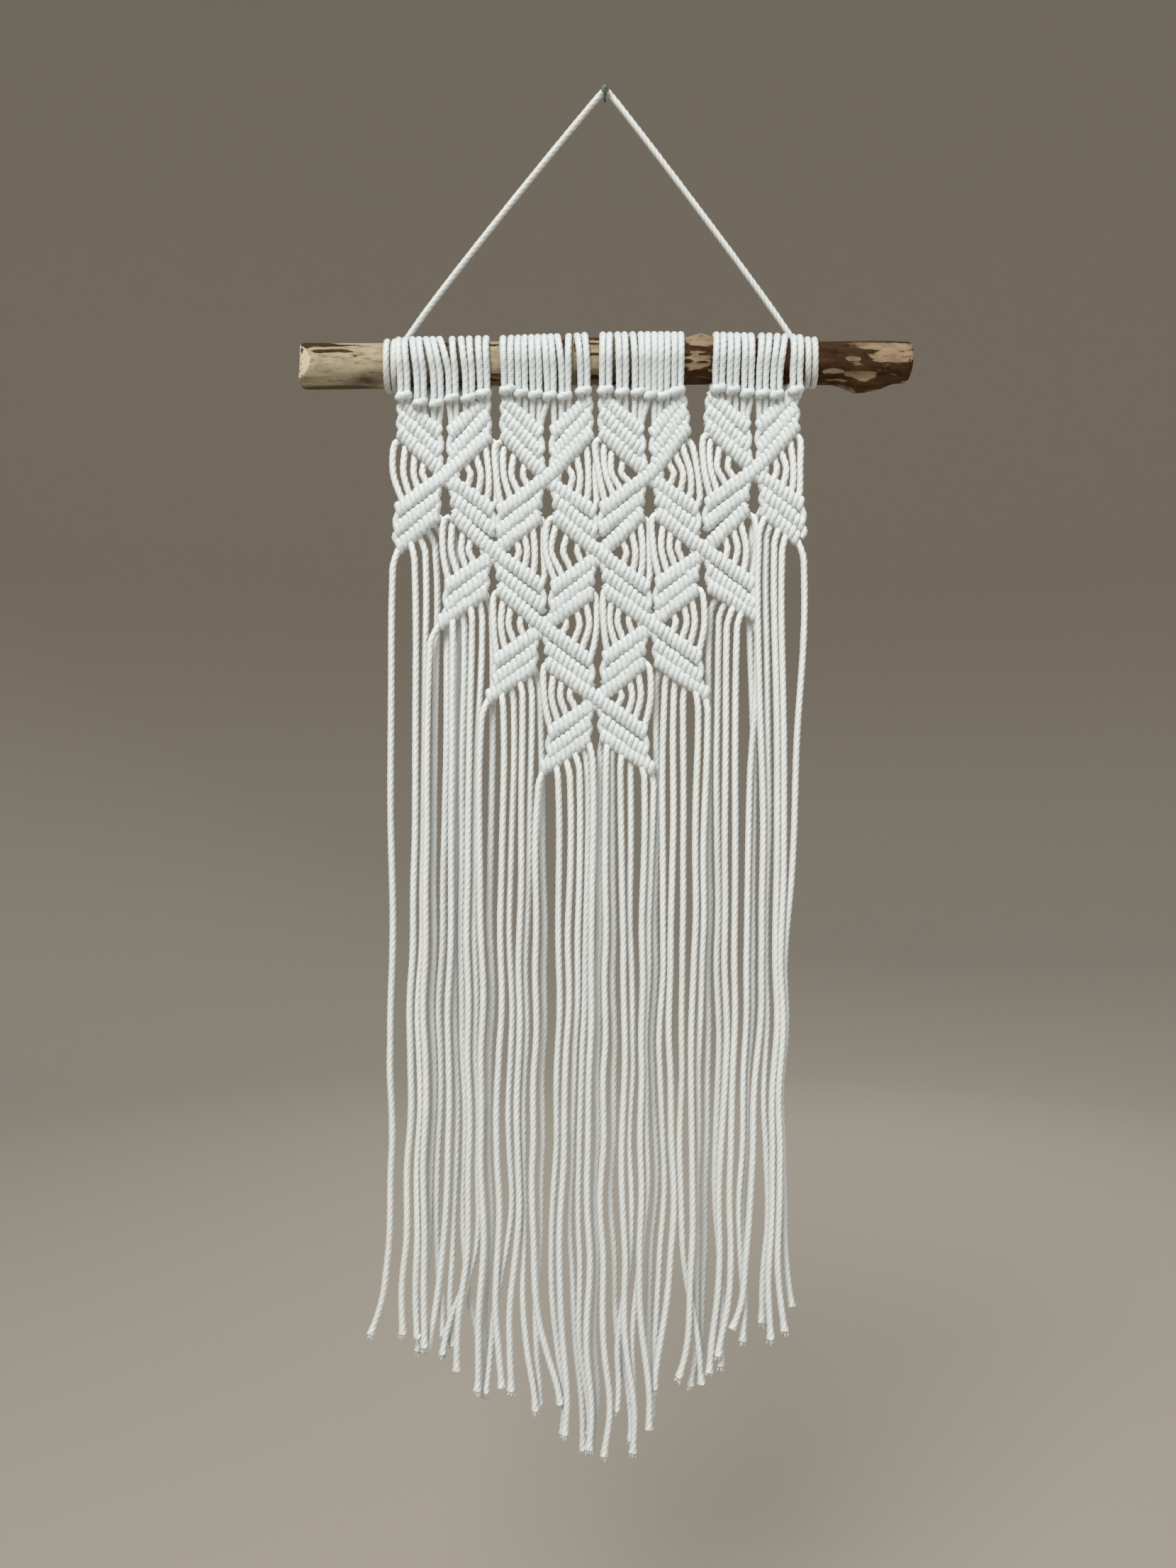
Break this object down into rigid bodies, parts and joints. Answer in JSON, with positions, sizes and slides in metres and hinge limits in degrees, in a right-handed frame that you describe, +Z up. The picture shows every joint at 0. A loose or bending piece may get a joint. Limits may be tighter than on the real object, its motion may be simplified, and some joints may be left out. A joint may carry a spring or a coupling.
{
  "type": "macrame wall hanging on a branch, hung from a nail",
  "caption": "Cotton macrame net of leaf-shaped knot bars with a long V-shaped fringe, tied to a wooden branch that hangs by a cord from a nail.",
  "frame": {"origin": "the point where the nail enters the wall, in the plane of the wall", "axes": "+Z up, +X to the right along the branch, +Y into the wall"},
  "size_m": [0.3727, 0.0397, 0.833],
  "materials": {
    "cotton": "three-ply twisted cotton cord, matt, off-white",
    "hanger_cotton": "three-ply twisted cotton cord, matt, slightly warmer white",
    "branch_wood": "peeled stick, tan with brown bark left in streaks, satin",
    "nail_steel": "dull grey, slightly tarnished"
  },
  "bodies": {
    "root": {"macrame": "cotton", "hanger_cord": "hanger_cotton", "branch": "branch_wood", "nail": "nail_steel"}
  },
  "joints": []
}
